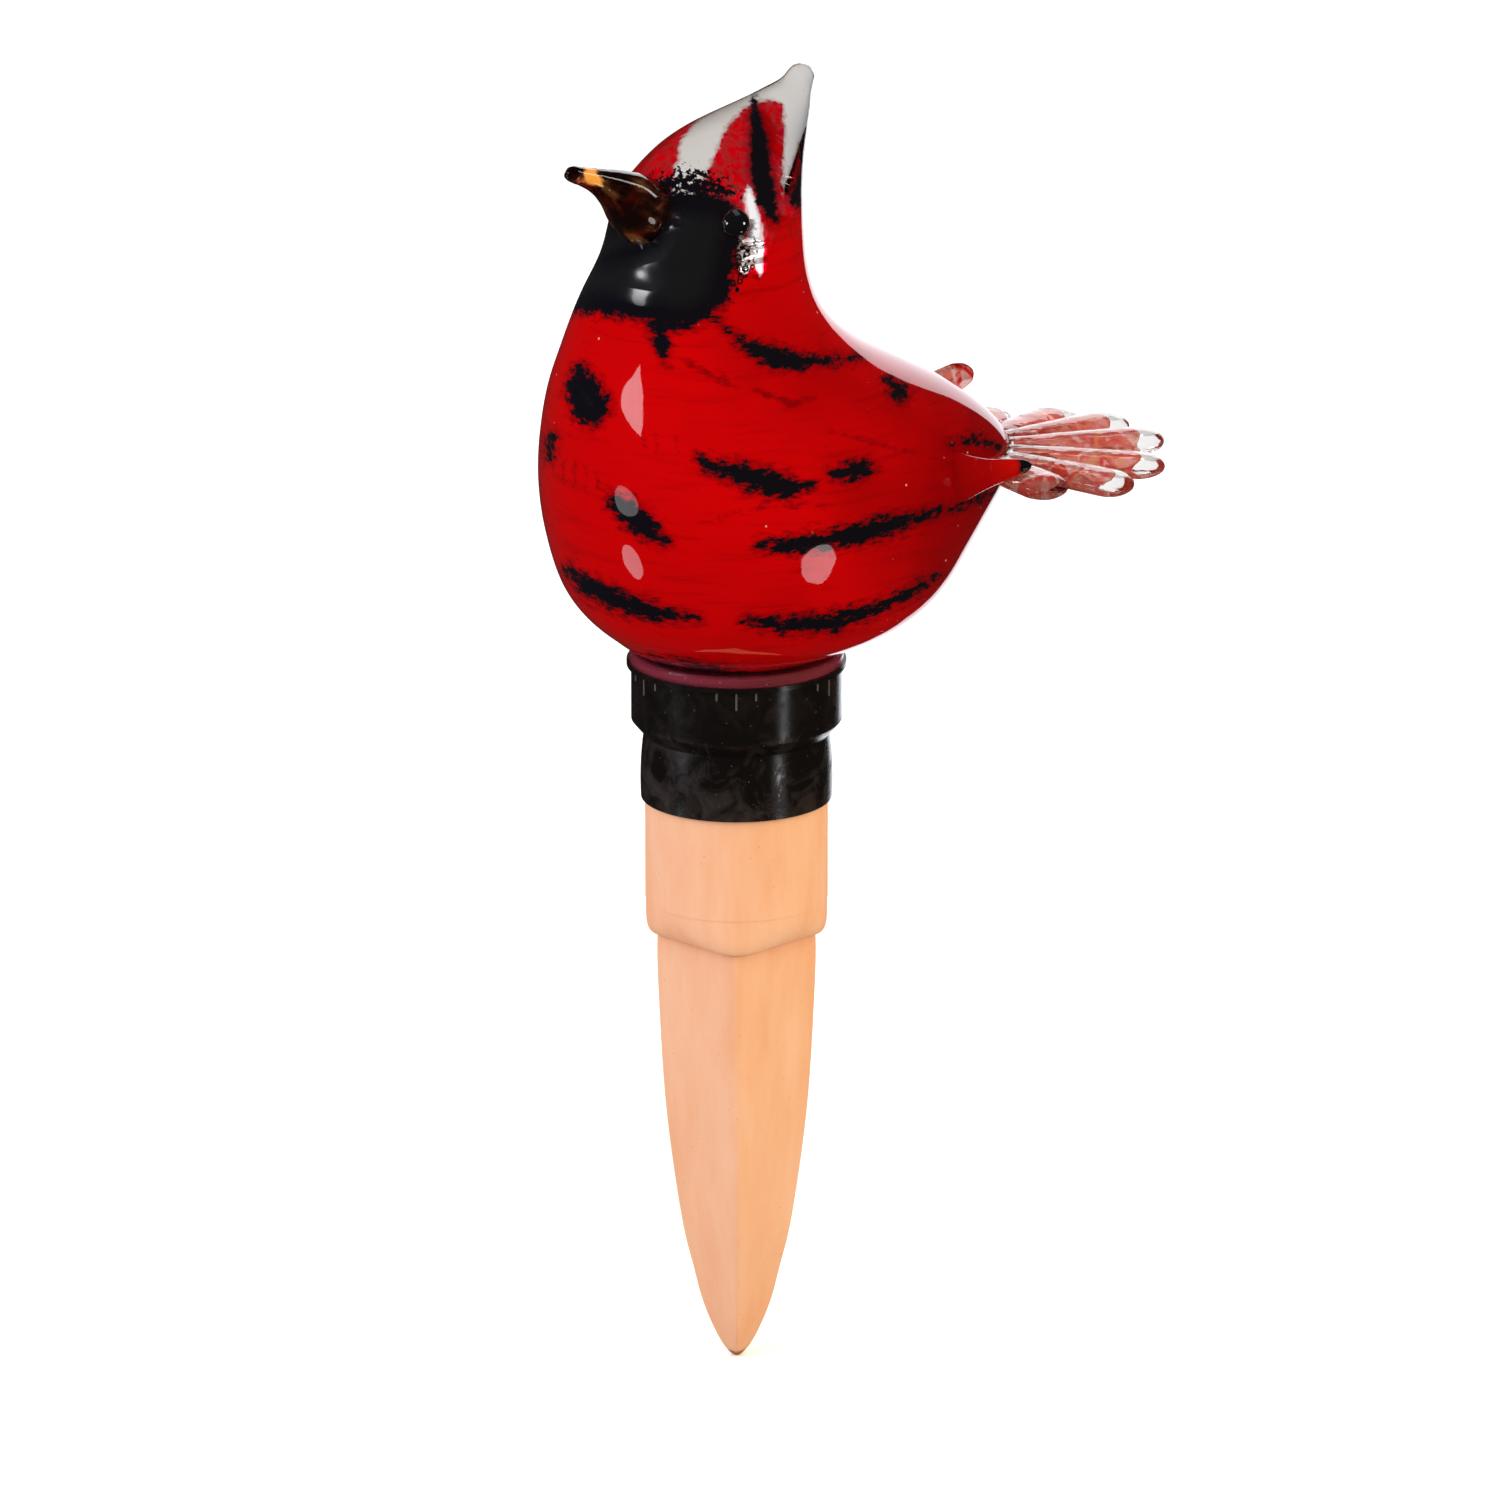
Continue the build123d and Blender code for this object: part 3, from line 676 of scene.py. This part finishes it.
# Eyes: black glass beads pressed on hot, each with a nib where its rod was snapped off. Their rims are
# painted brown where the ball turns away from view: painted light, for a rim reflection and light through the
# thin edge.
nib_height = 0.0011
nib_width = 0.0009
nib_side = 0.95
bead_swell = 1.27
bead_drop = 0.0012
eye_black = (0.003, 0.003, 0.004, 1.0)
eye_painted_rim_light = (0.16, 0.065, 0.045, 1.0)
finish, tree, shader = new_finish("black glass")
place = add(tree, "ShaderNodeTexCoord").outputs["Object"]
haze = noise(tree, place, scale=1400.0, detail=3.0)
rough = remap(tree, haze, low=0.01, high=0.06)
tree.links.new(rough, shader.inputs["Roughness"])
# Painted light: brown at the rim, where the ball turns away, stands in for a rim reflection and light through
# the thin glass.
rim = add(tree, "ShaderNodeLayerWeight", {"Blend": 0.5})
painted_rim_share = remap(tree, rim.outputs["Facing"], start=0.5, end=0.95)
ball = blend(tree, painted_rim_share, eye_black, eye_painted_rim_light)
tree.links.new(ball, shader.inputs["Base Color"])
for side in ("left", "right"):
    low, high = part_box(f"eye_{side}")
    bead = even_skin(f"eye_{side}", f"bead_{side}", small_cell, small_passes)
    points = mesh_points(bead)
    centre = np.array((low + high) / 2)
    points = centre + bead_swell * (points - centre) - (0.0, 0.0, bead_drop)
    centre[2] -= bead_drop
    outward = np.array([np.sign(centre[0]), 0.0, 0.0])
    nib_way = nib_side * view_right + (1 - nib_side) * outward
    nib_way /= np.linalg.norm(nib_way)
    radius = np.linalg.norm(points - centre, axis=1).max()
    off_nib = np.linalg.norm(points - centre - radius * nib_way, axis=1)
    points += nib_height * np.exp(-((off_nib / nib_width) ** 2))[:, None] * nib_way
    bead.data.vertices.foreach_set("co", points.ravel())
    worn(bead, finish)
    lit_only["eye"].objects.link(bead)
    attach(bead, "globe")
    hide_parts(f"eye_{side}")


# Wings: two tips of red glass pulled out of the flanks. The near one tapers and ends in a black bead of frit,
# and the far one is longer at its root and nearly clear at its heart.
wing_red = (0.50, 0.001, 0.002, 1.0)
wing_painted_glow = (0.72, 0.006, 0.002, 1.0)
wing_pale = (0.95, 0.75, 0.74, 1.0)
frit_outer = 0.00595
frit_inner = 0.00476
frit_waver = 0.004
root_end = 0.052
root_sink = 0.007
drawn_out = {
    "left": {"heart": 0.75, "taper": 0.0, "stretch": 1.45, "lift": 0.003, "tuck": 0.014},
    "right": {"heart": 0.2, "taper": 0.5, "stretch": 1.0, "lift": 0.0, "tuck": 0.0},
}
for side, form in drawn_out.items():
    wing = even_skin(f"wing_{side}", f"wing_tip_{side}", small_cell, small_passes)
    points = mesh_points(wing)
    tip = points[points[:, 1].argmax()]
    sunk = np.clip((root_end - points[:, 1]) / (root_end - points[:, 1].min()), 0.0, 1.0)
    points[:, 0] -= np.sign(tip[0]) * root_sink * sunk**2
    stem = points[points[:, 1] < root_end].mean(axis=0)
    way = (tip - stem) / np.linalg.norm(tip - stem)
    along = (points - stem) @ way
    drawn = np.clip(along / along.max(), 0.0, 1.0)
    off_line = points - stem - along[:, None] * way
    points = stem + along[:, None] * way + off_line * (1.0 - form["taper"] * drawn)[:, None]
    points += ((1.0 - form["stretch"]) * (along.max() - along))[:, None] * way
    near_root = 1.0 - drawn
    points[:, 2] += form["lift"] * near_root
    points[:, 0] -= np.sign(tip[0]) * form["tuck"] * near_root**2
    wing.data.vertices.foreach_set("co", points.ravel())
    finish, tree, shader = new_finish(f"wing glass {side}")
    place = add(tree, "ShaderNodeTexCoord").outputs["Object"]
    off_tip = add(tree, "ShaderNodeVectorMath", {0: place, 1: Vector(tip)}, operation="DISTANCE")
    swirl = noise(tree, place, scale=260.0, detail=3.0, distortion=1.2)
    uneven = reckon(tree, "MULTIPLY_ADD", swirl, frit_waver, off_tip.outputs["Value"])
    bead = remap(tree, uneven, start=frit_outer, end=frit_inner)
    heart = form["heart"]
    pale = remap(tree, swirl, start=0.72 - 0.4 * heart, end=0.85 - 0.4 * heart, high=heart)
    # Painted light: towards each tip the red turns a brighter orange, a painted glow of light shining through
    # the thin glass.
    glow = remap(tree, off_tip.outputs["Value"], start=0.010, end=0.003)
    warm = blend(tree, glow, wing_red, wing_painted_glow)
    red = blend(tree, pale, warm, wing_pale)
    if side == "right":
        red = blend(tree, bead, red, frit_black)
        lit = remap(tree, bead, low=0.45, high=0.0)
        tree.links.new(lit, shader.inputs["Transmission Weight"])
    else:
        shader.inputs["Transmission Weight"].default_value = 0.8
    tree.links.new(red, shader.inputs["Base Color"])
    haze = noise(tree, place, scale=900.0, detail=4.0)
    rough = remap(tree, haze, start=0.3, end=0.75, low=0.012, high=0.05)
    tree.links.new(rough, shader.inputs["Roughness"])
    worn(wing, finish)
    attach(wing, "globe")
    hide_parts(f"wing_{side}")


# Tail: seven feathers of clear glass, drawn out flat in a fan and fused to the rump. A thread of red runs in
# the heart of each and ends short of its tip.
root_depth = 0.006
core_length_share = 0.84
core_width_share = 0.62
feather_clear = (0.97, 0.955, 0.95, 1.0)
core_red = (0.80, 0.10, 0.08, 1.0)
core_milk = (0.93, 0.62, 0.58, 1.0)
core_orange = (0.90, 0.40, 0.20, 1.0)
core_white = (0.96, 0.88, 0.85, 1.0)
clear_finish, tree, shader = new_finish("clear glass")
place = add(tree, "ShaderNodeTexCoord").outputs["Object"]
ripple = noise(tree, place, scale=180.0, detail=2.0)
bump = add(tree, "ShaderNodeBump", {"Strength": 1.0, "Distance": 0.0005, "Height": ripple})
tree.links.new(bump.outputs[0], shader.inputs["Normal"])
shader.inputs["Base Color"].default_value = feather_clear
shader.inputs["Roughness"].default_value = 0.015
shader.inputs["Transmission Weight"].default_value = 1.0
core_finish, tree, shader = new_finish("red thread in clear glass")
place = add(tree, "ShaderNodeTexCoord").outputs["Object"]
grain = along_grain(tree, place, (0.0, 1.0, 0.0), 60.0, 420.0)
wisp = noise(tree, grain, scale=1.0, detail=4.0, distortion=0.4)
milky = remap(tree, wisp, start=0.42, end=0.66)
red = blend(tree, milky, core_red, core_milk)
curls = noise(tree, place, scale=170.0, detail=2.0, distortion=2.0)
curl = remap(tree, curls, start=0.54, end=0.66, high=0.75)
curled = blend(tree, curl, red, core_orange)
blank = remap(tree, curls, start=0.42, end=0.32, high=0.85)
red = blend(tree, blank, curled, core_white)
tree.links.new(red, shader.inputs["Base Color"])
thin = remap(tree, wisp, start=0.35, end=0.65, low=0.45, high=0.85)
tree.links.new(thin, shader.inputs["Transmission Weight"])
shader.inputs["IOR"].default_value = 1.06
shader.inputs["Roughness"].default_value = 0.15
for number in range(1, 8):
    node = f"tail_feather_{number}"
    worn(nodes[node], clear_finish)
    core = even_skin(node, f"feather_thread_{number}", small_cell, small_passes)
    points = mesh_points(core)
    from_axis = np.hypot(points[:, 0], points[:, 1])
    tip = points[from_axis.argmax()]
    root = points[from_axis < from_axis.min() + root_depth].mean(axis=0)
    reach = np.linalg.norm(tip - root)
    way = (tip - root) / reach
    along = (points - root) @ way
    off_line = points - root - along[:, None] * way
    points = root + (along * core_length_share)[:, None] * way + off_line * core_width_share
    core.data.vertices.foreach_set("co", points.ravel())
    worn(core, core_finish)
    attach(core, "globe")
